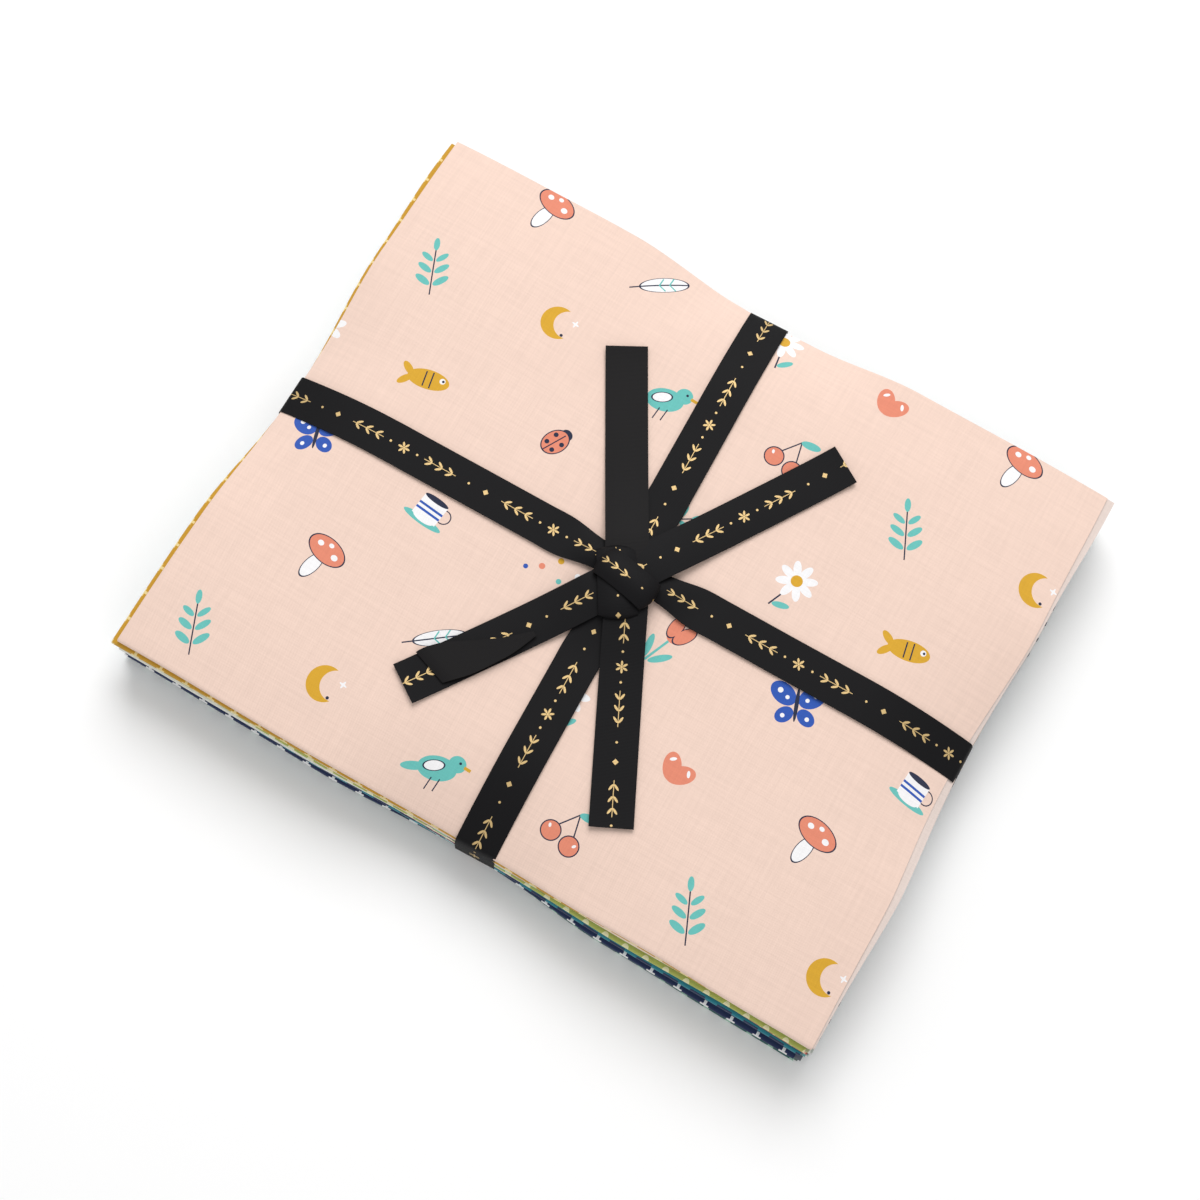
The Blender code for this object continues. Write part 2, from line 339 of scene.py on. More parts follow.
def fold_round(place, count):
    """Folds the plane into one wedge, so that what is drawn once appears `count` times round."""
    across, up = place.split()
    angle = place.math("ARCTAN2", up, across).repeat(2 * math.pi / count)
    reach = place.vector("LENGTH", place, output=1)
    return place.node("ShaderNodeCombineXYZ", None, (reach * angle.cosine(), reach * angle.sine(), 0.0))


MOTIFS = {
    "daisy": (Stroke("bar", "navy", 0, -9, 9, 0.6, 88), Stroke("spot", "teal", 3, -10.5, 6.5, 2.4, 35),
              Stroke("petals8", "white", 4.6, 0, 6.2, 3.0), Stroke("spot", "mustard", 0, 0, 4.4, 4.4)),
    "tulip": (Stroke("bar", "teal", 0, -6, 12, 0.9, 90), Stroke("spots2", "teal", 3.2, -7.5, 9, 2.6, 62),
              Stroke("spots2", "coral", 2.3, 4.4, 9.5, 4.8, 78), Stroke("spot", "coral", 0, 2.6, 6.5, 7.5),
              Stroke("rings2", "navy", 2.3, 4.4, 9.5, 4.8, 78)),
    "sprig": (Stroke("bar", "navy", 0, -1, 20, 0.5, 90), Stroke("spots2", "teal", 3.4, -5, 6.6, 2.7, 35),
              Stroke("spots2", "teal", 3.2, 0, 6.2, 2.5, 35),
              Stroke("spots2", "teal", 2.8, 4.6, 5.4, 2.2, 38),
              Stroke("spot", "teal", 0, 10, 2.3, 5.2)),
    "cherries": (Stroke("bars2", "navy", 2.0, 2.2, 10, 0.5, 115),
                 Stroke("spot", "teal", 3.4, 7.6, 7.5, 3.0, 18),
                 Stroke("spots2", "coral", 4.2, -4.4, 7.2, 7.2),
                 Stroke("rings2", "navy", 4.2, -4.4, 7.2, 7.2),
                 Stroke("spots2", "white", 5.6, -3.2, 1.6, 1.0, 60)),
    "butterfly": (Stroke("spots2", "royal", 5.2, 3.4, 10.5, 7.4, 35),
                  Stroke("spots2", "royal", 3.9, -4.2, 7.2, 5.4, -40),
                  Stroke("spots2", "white", 6.4, 4.4, 2.0, 2.0),
                  Stroke("spots2", "white", 3.6, 2.2, 1.5, 1.5),
                  Stroke("spots2", "white", 4.4, -4.6, 1.6, 1.6),
                  Stroke("bars2", "navy", 1.7, 8.4, 5.0, 0.4, 62),
                  Stroke("spot", "navy", 0, 0, 1.5, 12.5)),
    "bird": (Stroke("spot", "teal", -8, -2.4, 9, 3.2, 20), Stroke("spot", "teal", 0, 0, 14, 9, 12),
             Stroke("bar", "navy", -1, -6, 5, 0.45, 80), Stroke("bar", "navy", 2, -5.6, 5, 0.45, 80),
             Stroke("spot", "teal", 6, 4.2, 6.4, 6.2), Stroke("bar", "mustard", 9.9, 4.0, 2.6, 1.2, -8),
             Stroke("spot", "white", -1.4, 0.6, 7.5, 3.8, 24),
             Stroke("ring", "navy", -1.4, 0.6, 7.5, 3.8, 24),
             Stroke("spot", "navy", 6.9, 5.0, 1.0, 1.0)),
    "mushroom": (Stroke("spot", "white", 0, -5, 5.2, 11), Stroke("ring", "navy", 0, -5, 5.2, 11),
                 Stroke("spot", "coral", 0, 2.6, 15.5, 9), Stroke("ring", "navy", 0, 2.6, 15.5, 9),
                 Stroke("spot", "white", -3.6, 3.2, 2.4, 2.0), Stroke("spots2", "white", 0, 5.0, 2.0, 1.6),
                 Stroke("spot", "white", 3.9, 2.4, 2.6, 2.2)),
    "fish": (Stroke("spot", "mustard", -8.4, 2.2, 6.4, 2.8, -42),
             Stroke("spot", "mustard", -8.4, -2.2, 6.4, 2.8, 42), Stroke("spot", "mustard", 0, 0, 16, 7.6),
             Stroke("bar", "navy", -1.4, 0, 6.0, 0.5, 90), Stroke("bar", "navy", 1.2, 0, 6.4, 0.5, 90),
             Stroke("spot", "white", 5.2, 0.9, 2.2, 2.2), Stroke("spot", "navy", 5.5, 0.9, 1.0, 1.0)),
    "confetti": (Stroke("spot", "teal", -8, 3, 2.3, 2.3), Stroke("spot", "navy", -3, 7, 1.9, 1.9),
                 Stroke("spot", "mustard", 1, 1, 2.3, 2.3), Stroke("spot", "royal", 6, 5, 2.1, 2.1),
                 Stroke("spot", "coral", -4, -4, 2.3, 2.3), Stroke("spot", "teal", 4, -6, 2.0, 2.0),
                 Stroke("spot", "white", 9, -1, 2.2, 2.2), Stroke("spot", "royal", -9, -7, 1.8, 1.8)),
    "cup": (Stroke("spot", "teal", 0, -5.4, 16, 3.2), Stroke("ring", "navy", 5.6, 0, 5.2, 5.2),
            Stroke("bar", "white", 0, -0.6, 10, 8.4), Stroke("spot", "white", 0, -4.6, 8.6, 3.0),
            Stroke("spot", "navy", 0, 3.6, 10, 2.2), Stroke("bar", "royal", 0, 0, 10, 0.9),
            Stroke("bar", "royal", 0, -2, 10, 0.9)),
    "moon": (Stroke("spot", "mustard", 0, 0, 13, 13), Stroke("spot", "peach", 3.6, 1.6, 11, 11),
             Stroke("spot", "white", 5.4, 3.6, 3.0, 0.8), Stroke("spot", "white", 5.4, 3.6, 0.8, 3.0),
             Stroke("spot", "navy", 4.0, -3.2, 1.2, 1.2)),
    "ladybird": (Stroke("spot", "navy", 5.0, 0, 4.0, 4.6), Stroke("spot", "coral", 0, 0, 11, 8.4),
                 Stroke("ring", "navy", 0, 0, 11, 8.4), Stroke("bar", "navy", -0.4, 0, 10, 0.45),
                 Stroke("spot", "navy", 1.8, 2.2, 1.8, 1.8), Stroke("spot", "navy", 1.4, -2.2, 1.8, 1.8),
                 Stroke("spot", "navy", -2.4, 1.8, 1.8, 1.8), Stroke("spot", "navy", -2.6, -1.9, 1.8, 1.8)),
    "feather": (Stroke("spot", "white", 1, 0, 19, 5.6), Stroke("ring", "navy", 1, 0, 19, 5.6),
                Stroke("bar", "navy", -1, 0, 23, 0.5), Stroke("bar", "teal", 4, 1.2, 3.2, 0.5, 50),
                Stroke("bar", "teal", 4, -1.2, 3.2, 0.5, -50), Stroke("bar", "teal", 0, 1.2, 3.2, 0.5, 50),
                Stroke("bar", "teal", 0, -1.2, 3.2, 0.5, -50)),
    "heart": (Stroke("spots2", "coral", 2.2, 0.8, 10.6, 6.6, 52),
              Stroke("spots2", "white", 3.8, 3.0, 2.6, 1.2, 128)),
}
LATTICE = (200, 160)  # millimetres before the print repeats
LAYOUT = (  # motif, where its middle is in the repeat, and its turn in degrees
    ("sprig", 21, 18, 24), ("moon", 72, 23, -8), ("bird", 121, 17, 6), ("cherries", 171, 22, -12),
    ("mushroom", 46, 62, -14), ("feather", 97, 57, 38), ("daisy", 147, 64, 10), ("heart", 193, 58, -16),
    ("butterfly", 18, 101, 20), ("cup", 70, 97, -6), ("confetti", 119, 103, 0), ("tulip", 168, 99, -22),
    ("fish", 43, 139, 12), ("ladybird", 95, 142, 62), ("sprig", 146, 138, -58), ("daisy", 196, 141, -20),
)


def garden_print(place, across, along):
    """The top quarter's print: every motif of the layout, each wrapped round its own middle."""
    colour = INKS["peach"]
    half = (LATTICE[0] / 2, LATTICE[1] / 2, 1)
    for name, x, y, turn in LAYOUT:
        local = place.vector("SUBTRACT", place, (x, y, 0))
        local = local.vector("WRAP", local, half, tuple(-side for side in half))
        if turn:
            local = local.node("ShaderNodeMapping", {"vector_type": "TEXTURE"},
                               {"Vector": local, "Rotation": (0, 0, math.radians(turn))})
        for stroke in MOTIFS[name]:
            colour = blend(draw(local, stroke), colour, INKS[stroke.ink])
    return colour


print(len(MOTIFS), "motifs,", sum(len(MOTIFS[row[0]]) for row in LAYOUT), "strokes in one repeat")

# %% [markdown]
# The other eleven cuts show little more than their folds, so each has one small even print: dots,
# stripes, checks, crosses, rings or dashes on its own ground.

# %% Small prints
def dots(across, along, pitch, size):
    x, y = across.repeat(pitch), along.repeat(pitch)
    return (x * x + y * y) < (size / 2) ** 2


def rings(across, along, pitch, size):
    return dots(across, along, pitch, size) - dots(across, along, pitch, size * 0.72)


def stripes(across, along, pitch, size):
    return along.repeat(pitch).absolute() < size / 2


def checks(across, along, pitch, size):
    return stripes(across, along, pitch, size) | stripes(along, across, pitch, size)


def dashes(across, along, pitch, size):
    shifted = across + (along / pitch + 0.5).floor() * (pitch * 0.9)
    return stripes(across, along, pitch, size) & (shifted.repeat(pitch * 1.8).absolute() < pitch * 0.5)


def crosses(across, along, pitch, size):
    x, y = across.repeat(pitch).absolute(), along.repeat(pitch).absolute()
    arm = (x < size / 6) | (y < size / 6)
    return arm & ((x | y) < size / 2)


def pale(colour):
    """What the reverse of a printed cotton shows: the ground, half washed out."""
    return tuple(0.55 * part + 0.40 * (0.3 + 0.6 * sum(colour) / 3) for part in colour)


class Cotton(NamedTuple):
    name: str
    ground: tuple
    design: object
    ink: tuple = ()
    pitch: float = 0
    size: float = 0

    def pattern(self, place, across, along):
        if self.design is garden_print:
            return garden_print(place, across, along)
        return blend(self.design(across, along, self.pitch, self.size), self.ground, self.ink)


WHITE, NAVY = INKS["white"], INKS["navy"]
COTTONS = (  # from the lowest quarter to the top one
    Cotton("bottle green dots", (0.012, 0.105, 0.090), dots, (0.30, 0.52, 0.40), 9, 2.4),
    Cotton("navy crosses", (0.010, 0.022, 0.085), crosses, WHITE, 11, 3.4),
    Cotton("mint stripes", (0.47, 0.66, 0.58), stripes, (0.10, 0.40, 0.40), 8, 1.6),
    Cotton("white dots", (0.80, 0.79, 0.76), dots, NAVY, 7, 2.2),
    Cotton("sea blue dashes", (0.012, 0.205, 0.27), dashes, (0.015, 0.03, 0.09), 6, 1.4),
    Cotton("brick rings", (0.42, 0.050, 0.035), rings, (0.80, 0.45, 0.34), 12, 6),
    Cotton("sage checks", (0.45, 0.54, 0.46), checks, (0.80, 0.80, 0.74), 10, 2.0),
    Cotton("lime dots", (0.42, 0.47, 0.10), dots, (0.78, 0.76, 0.45), 8, 2.6),
    Cotton("turquoise dashes", (0.15, 0.52, 0.52), dashes, NAVY, 7, 1.6),
    Cotton("coral stripes", (0.74, 0.25, 0.16), stripes, (0.84, 0.66, 0.56), 9, 2.2),
    Cotton("mustard crosses", (0.56, 0.30, 0.018), crosses, (0.82, 0.66, 0.30), 10, 3.0),
    Cotton("peach garden", INKS["peach"], garden_print),
)
cotton_finishes = [finish_cotton(cotton.name, cotton.pattern, pale(cotton.ground)) for cotton in COTTONS]
print([material.name for material in cotton_finishes])

# %% [markdown]
# ## The shape of the squeezed stack
# Everything that lies in or on the stack shares two heights: its top and its bottom. Both droop or
# lift where a ribbon bends over an edge. `pinch` says how firmly a ribbon holds the cloth at a
# distance from it, and `edge` how near the outline a place is.

# %% Heights of the stack
CUT_LONG, CUT_SHORT = 559 * MM, 457 * MM  # a fat quarter is 22 x 18 inches
HALF_LENGTH, HALF_WIDTH = CUT_LONG / 4, CUT_SHORT / 4
COUNT = 12
PLIES = 4
PLY = 0.65 * MM  # from ply to ply before the squeeze
CLOTH_THICK = 0.28 * MM
PINCH_REACH = 60 * MM
EDGE_RUN_X, EDGE_RUN_Y = 45 * MM, 42 * MM
EDGE_DROOP, PINCH_DROOP, PINCH_LIFT = 2 * MM, 8 * MM, 2.6 * MM
PULL_IN_ENDS, PULL_IN_SIDES = 0.9 * MM, 0.7 * MM
ROUND_OVER = 0.9 * MM  # how much further a ribbon draws in the topmost and lowest plies
RIBBON_BED, BED_INNER, BED_OUTER = 1.4 * MM, 14 * MM, 50 * MM
top_low, top_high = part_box("fat_quarter_12")
MIDDLE = Vector((top_high[0] - HALF_LENGTH - 0.6 * MM, top_high[1] - HALF_WIDTH - 0.5 * MM))


class Crease(NamedTuple):
    """A soft ridge (or, with a negative height, a trough) along a line, in millimetres."""

    start: tuple
    end: tuple
    width: float
    height: float


CREASES = (
    Crease((-9, 116), (-30, 78), 9, 0.9), Crease((-30, 78), (-22, 40), 12, 0.5),
    Crease((-22, 112), (-58, 84), 8, -0.5), Crease((8, 114), (46, 80), 10, 0.9),
    Crease((46, 80), (96, 84), 12, 0.7), Crease((22, 112), (62, 104), 7, -0.5),
    Crease((138, 6), (104, 34), 9, -0.8), Crease((136, 14), (112, 62), 9, 0.7),
    Crease((138, -8), (100, -30), 10, 0.8), Crease((-140, 2), (-104, 26), 9, 0.8),
    Crease((-140, -10), (-100, -34), 9, 0.7), Crease((-138, -4), (-96, 44), 7, -0.5),
    Crease((0, -114), (-26, -84), 9, 0.7), Crease((14, -114), (44, -88), 9, 0.8),
    Crease((6, -116), (34, -102), 6, -0.5),
)


def ease(share):
    share = min(1.0, max(0.0, share))
    return share * share * (3 - 2 * share)


def pinch(across):
    near = min(1.0, abs(across) / PINCH_REACH)
    return (1 - near ** 2) ** 2


def edge(along, half, run):
    return max(0.0, (abs(along) - (half - run)) / run) ** 2


def bed(across):
    return ease((BED_OUTER - abs(across)) / (BED_OUTER - BED_INNER))


def crease_height(x, y):
    total = 0.0
    for crease in CREASES:
        start, end = Vector(crease.start) * MM, Vector(crease.end) * MM
        place = Vector((x, y))
        run = end - start
        share = min(1.0, max(0.0, (place - start).dot(run) / run.length_squared))
        away = (place - start - run * share).length / (crease.width * MM)
        fade = 1 - 0.8 * ease(share)
        total += crease.height * MM * fade * math.exp(-away * away)
    return total


def ripple(x, y):
    """Slow unevenness of the topmost plies."""
    slow = noise.noise(Vector((x / (75 * MM), y / (60 * MM), 3.1)))
    quick = noise.noise(Vector((x / (26 * MM), y / (30 * MM), 8.7)))
    return 0.9 * MM * slow + 0.18 * MM * quick


def top_height(x, y):
    ends = edge(x, HALF_LENGTH, EDGE_RUN_X) * (EDGE_DROOP + PINCH_DROOP * pinch(y))
    sides = edge(y, HALF_WIDTH, EDGE_RUN_Y) * (EDGE_DROOP + PINCH_DROOP * pinch(x))
    return STACK_TOP - ends - sides


def bottom_height(x, y):
    ends = edge(x, HALF_LENGTH, EDGE_RUN_X) * pinch(y)
    sides = edge(y, HALF_WIDTH, EDGE_RUN_Y) * pinch(x)
    return RIBBON_BED * (bed(x) + bed(y)) + PINCH_LIFT * (ends + sides)


def level_height(x, y, share):
    """The height of a level in the stack, where its share runs from 0 at the bottom to 1 on top."""
    lump = noise.noise(Vector((x / (70 * MM), y / (70 * MM), share * 2.5)))
    share = share + 0.035 * lump * math.sin(math.pi * share)
    low, high = bottom_height(x, y), top_height(x, y)
    return low + share * (high - low) + (ripple(x, y) + crease_height(x, y)) * share ** 6


print("stack top in mm:", round(top_height(0, 0) / MM, 1),
      "at an end under the ribbon:", round(top_height(HALF_LENGTH, 0) / MM, 1))

# %% [markdown]
# ## One sheet, folded twice
# A place on the flat cut is `s` along it and `t` across it, both measured from its middle. The first
# fold doubles it at the left. A half circle of cloth joins the plies, so near the fold the sheet
# turns by an angle, and beyond it runs straight. The second fold does the same at the front to the
# doubled cloth. `offset` moves a place off the sheet's middle, so the same formula also gives the
# two sides of the cloth.

# %% The two folds
def turn_over(distance, radius, offset):
    """Folds a line round a half circle: how far it then is from the fold, and its height."""
    reach = math.pi * radius / 2
    if abs(distance) <= reach:
        angle = distance / radius
        return radius - (radius + offset) * math.cos(angle), (radius + offset) * math.sin(angle)
    return radius + abs(distance) - reach, math.copysign(radius + offset, distance)


def fold_twice(s, t, offset):
    """Where a place on the flat cut goes: across from the left fold, back from the front fold, and
    its share of the height of the four plies."""
    across, ply_height = turn_over(s, PLY / 2, offset)
    back, height = turn_over(t, PLY, -ply_height)
    return across, back, 0.5 + height / (PLIES * PLY)


for s, t in ((-0.2, 0.2), (0.2, 0.2), (0.2, -0.2), (-0.2, -0.2)):
    print("s, t =", s, t, "-> ply", int(fold_twice(s, t, 0)[2] * PLIES) + 1)

# %% [markdown]
# ## From a grid to a cloth
# `make_sheet` lays a grid, extrudes it into a thin closed sheet, and puts every corner where a
# formula says. Both copies of a corner remember their place in the grid, so one formula serves both
# sides. The extruded side is the printed face.

# %% Thin sheets
def make_sheet(name, us, vs, place, thickness, material):
    """A closed sheet over the grid us x vs; place(u, v, offset) gives a point off its middle."""
    sheet = bmesh.new()
    index = sheet.verts.layers.int.new("place")
    bmesh.ops.create_grid(sheet, x_segments=len(us) - 1, y_segments=len(vs) - 1, size=1)
    for number, vertex in enumerate(sheet.verts):
        vertex[index] = number
    printed = sheet.faces.layers.float.new("face")
    cloth = sheet.loops.layers.uv.new("Cloth")
    back = set(sheet.faces)
    raised = set(bmesh.ops.extrude_face_region(sheet, geom=sheet.faces[:])["geom"])
    for face in sheet.faces:
        face.smooth = True
        face[printed] = 1.0 if face in raised else 0.0
        if face not in raised and face not in back:
            for rim in face.edges:
                rim.smooth = False
        for loop in face.loops:
            row, column = divmod(loop.vert[index], len(us))
            loop[cloth].uv = (us[column], vs[row])
    for vertex in sheet.verts:
        row, column = divmod(vertex[index], len(us))
        vertex.co = place(us[column], vs[row], thickness / 2 * (1 if vertex in raised else -1))
    bmesh.ops.recalc_face_normals(sheet, faces=sheet.faces)
    mesh = bpy.data.meshes.new(name)
    sheet.to_mesh(mesh)
    sheet.free()
    mesh.materials.append(material)
    piece = bpy.data.objects.new(name, mesh)
    bpy.context.scene.collection.objects.link(piece)
    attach(piece, "root")
    return piece


NEAR_FOLD = [0.17, 0.34, 0.51, 0.8, 1.2, 2, 4, 8]  # millimetres from a fold to its stations


def fold_stations(half, step):
    """Places from one cut edge to the other, close together where the cloth turns."""
    rest = half / MM - NEAR_FOLD[-1]
    count = round(rest / step)
    far = [NEAR_FOLD[-1] + rest * n / count for n in range(1, count + 1)]
    side = [value * MM for value in NEAR_FOLD + far]
    return [-value for value in reversed(side)] + [0.0] + side


print(len(fold_stations(CUT_LONG / 2, 7)), "x", len(fold_stations(CUT_SHORT / 2, 7)), "stations in a cut")

# %% [markdown]
# Each quarter strays a little from the stack's outline. The table gives how far each edge sits out,
# in millimetres, from the lowest quarter to the top one. A ribbon draws the edges in beneath it.

# %% The twelve quarters
EDGES = (  # left, right, front, back, and how much further out the front is at its right end
    (0.6, -1.2, 1.2, -1.0, 1.8), (1.5, -0.8, 1.5, 0.4, 1.4), (-0.9, 1.4, -0.6, 0.9, 0.8),
    (0.3, 1.9, -1.1, -0.7, 0.6), (1.1, -0.9, 0.9, 1.1, 0.9), (-0.7, 0.7, -0.4, -0.5, 0.5),
    (0.8, 1.1, 0.5, 0.8, -0.4), (-0.5, -0.6, 0.8, -0.9, 0.3), (1.9, 0.5, -0.8, 1.0, -0.5),
    (1.2, -0.4, 0.3, 0.2, -0.6), (1.7, 0.3, 0.7, -0.4, -1.0), (-0.4, 0.6, 0.2, 0.5, -0.3),
)


def outline_shift(number, x, y, share):
    """How far the cloth's edges stray, and how far the ribbons draw them in."""
    left, right, front, back, skew = EDGES[number]
    side_x, side_y = math.copysign(1, x), math.copysign(1, y)
    rim_x = ease((abs(x) / HALF_LENGTH - 0.72) / 0.28)
    rim_y = ease((abs(y) / HALF_WIDTH - 0.72) / 0.28)
    crown = abs(2 * share - 1) ** 4
    wave_x = 0.7 * noise.noise(Vector((y / (40 * MM), number * 1.7, side_x)))
    wave_y = 0.7 * noise.noise(Vector((x / (45 * MM), number * 2.3, side_y + 9)))
    stray_x = (left if x < 0 else right) + wave_x
    stray_y = (front + skew * x / HALF_LENGTH if y < 0 else back) + wave_y
    hold_x, hold_y = pinch(x), pinch(y)
    pull_x = (PULL_IN_ENDS + ROUND_OVER * crown) * hold_y
    pull_y = (PULL_IN_SIDES + ROUND_OVER * crown) * hold_x
    return (side_x * rim_x * (stray_x * MM * (1 - hold_y) - pull_x),
            side_y * rim_y * (stray_y * MM * (1 - hold_x) - pull_y))


TOP_STEP, STEP = 3.6, 7.5  # millimetres between stations, in the top quarter and in the others


def add_quarter(number):
    step = TOP_STEP if number == COUNT - 1 else STEP
    us, vs = fold_stations(CUT_LONG / 2, step), fold_stations(CUT_SHORT / 2, step)
    trim_u, trim_v = (STEADY.uniform(0.3, 1.1) * MM for _ in range(2))

    def place(u, v, offset):
        s = -u + trim_u * (abs(u) / (CUT_LONG / 2)) ** 6 * (1 + 0.6 * math.sin(v * 40 + number))
        t = v + trim_v * (abs(v) / (CUT_SHORT / 2)) ** 6 * (1 + 0.6 * math.sin(u * 33 + number))
        across, back, ply = fold_twice(s, t, offset)
        share = (number + ply) / COUNT
        x, y = across - HALF_LENGTH, back - HALF_WIDTH
        shift_x, shift_y = outline_shift(number, x, y, share)
        x, y = x + shift_x, y + shift_y
        return Vector((x + MIDDLE.x, y + MIDDLE.y, level_height(x, y, share)))

    name = f"fat_quarter_{number + 1:02d}"
    piece = make_sheet("cotton_" + name[-2:], us, vs, place, CLOTH_THICK, cotton_finishes[number])
    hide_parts(name)
    return piece


for number in range(COUNT):
    add_quarter(number)

# %% [markdown]
# ## The ribbon
# The ribbon is a narrow black weave, printed on one side in gold with sprigs, diamonds and small
# rosettes. Its reverse is plain. Fine ribs run straight across it.

# %% Ribbon finish
GOLD, BLACK, REVERSE = (0.62, 0.44, 0.20), (0.0035, 0.0032, 0.0040), (0.0060, 0.0052, 0.0056)
RIBBON_REPEAT = 62
ORNAMENT = tuple(
    Stroke("spot", "gold", x, side * 0.95, 2.6, 0.85, side * turn)
    for x, turn in ((-19, 35), (-14.8, 35), (-10.6, 35), (10.6, 145), (14.8, 145), (19, 145))
    for side in (-1, 1)
) + (
    Stroke("bar", "gold", -15, 0, 13, 0.28), Stroke("bar", "gold", 15, 0, 13, 0.28),
    Stroke("petals6", "gold", 1.35, 0, 1.9, 0.8), Stroke("spot", "gold", 0, 0, 0.8, 0.8),
    Stroke("bar", "gold", -28, 0, 1.6, 1.6, 45), Stroke("spot", "gold", 27, 0, 0.9, 0.9),
    Stroke("spot", "gold", -5.5, 0, 0.9, 0.9), Stroke("spot", "gold", 5.5, 0, 0.9, 0.9),
)


def finish_ribbon():
    material, shader, wire = start_material("black ribbon", roughness=0.62, sheen=0.0, gloss=0.16)
    place, along, across = cloth_coordinates(wire)
    half = (RIBBON_REPEAT / 2, 30, 1)
    local = place.vector("WRAP", place, half, tuple(-side for side in half))
    mask = along * 0.0
    for stroke in ORNAMENT:
        mask = mask | draw(local, stroke)
    face = wire.node("ShaderNodeAttribute", {"attribute_name": "face"}, output=2)
    gold = mask & (face > 0.5)
    ground = blend(face > 0.5, REVERSE, BLACK)
    feed(shader, "Base Color", blend(gold, ground, GOLD))
    feed(shader, "Metallic", gold * 0.35)
    feed(shader, "Roughness", 0.62 - gold * 0.2)
    ribs = (along * (2 * math.pi / 0.5)).sine() + (across * (2 * math.pi / 0.42)).sine() * 0.5
    feed(shader, "Normal", bump(wire, ribs * 0.5 + 0.4 * slubs(place), 0.04 * MM, 0.6))
    return material


ribbon_finish = finish_ribbon()
print(len(ORNAMENT), "gold strokes every", RIBBON_REPEAT, "mm")

# %% [markdown]
# A ribbon is a strip that follows a line of stations. Each station says where its middle is, how
# high over the stack's top, how wide it is, and how far its edges cup down. Between the stations
# the line is a smooth curve.

# %% Laying a strip
RIBBON_WIDTH, RIBBON_THICK = 15.6 * MM, 0.4 * MM
ACROSS = [-1, -0.75, -0.5, -0.25, 0, 0.25, 0.5, 0.75, 1]


def smooth_line(points, step):
    """A Catmull-Rom curve through rows of numbers, sampled about every step metres."""
    rows = [points[0]] + list(points) + [points[-1]]
    line = []
    for before, start, end, after in zip(rows, rows[1:], rows[2:], rows[3:]):
        count = max(1, round((Vector(end[:3]) - Vector(start[:3])).length / step))
        for n in range(count):
            t = n / count
            line.append([0.5 * (2 * b + (c - a) * t + (2 * a - 5 * b + 4 * c - d) * t * t
                                + (3 * b - a - 3 * c + d) * t ** 3)
                         for a, b, c, d in zip(before, start, end, after)])
    return line + [list(points[-1])]


def strip(name, line, material, sideways, flip=1, start=0.0):
    """A strip along a line of (x, y, z, width, cup), printed outwards, or inwards if flip is -1."""
    middles = [Vector(row[:3]) for row in line]
    lengths = [start]
    for a, b in zip(middles, middles[1:]):
        lengths.append(lengths[-1] + (b - a).length)
    tangents = [(middles[min(n + 1, len(middles) - 1)] - middles[max(n - 1, 0)]).normalized()
                for n in range(len(middles))]
    spot = {length: n for n, length in enumerate(lengths)}

    def place(u, v, offset):
        n = spot[u]
        width, cup = line[n][3], line[n][4]
        out = tangents[n].cross(sideways).normalized()
        share = v / (RIBBON_WIDTH / 2)
        return middles[n] + sideways * share * width / 2 + out * (flip * offset - cup * share * share)

    vs = [share * RIBBON_WIDTH / 2 for share in ACROSS]
    return make_sheet(name, lengths, vs, place, RIBBON_THICK, material), lengths[-1] - start


def declare(piece, node, length):
    if node:
        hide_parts(node)


def surface(x, y):
    """The height of the cloth's top face at a place measured from its middle."""
    return level_height(x, y, 1.0)


print("strip ready, the cloth's middle is at", round(surface(0, 0) / MM, 2), "mm")

# %% [markdown]
# The two bands start at the knot, run out over the top, go down the side that the squeeze has
# rounded, and come back along the bottom. Their path is read off the same stack formula as the
# cloth, then moved outwards by the clearance.

# %% The bands
KNOT = Vector((3.5, -6.0)) * MM
CLEAR = 0.75 * MM


FROM_KNOT = 6 * MM  # how far from the knot's middle a band ends
BAND_SPANS = 13  # stations from the knot to the edge, less one
GATHER_START, GATHER_RUN = 8 * MM, 20 * MM  # where a band narrows on its way to the knot
GATHER, GATHER_RISE, GATHER_CUP = 0.38, 2.6 * MM, 1.6 * MM
BENEATH = 0.3 * MM  # the middle of the ribbon that lies on the table


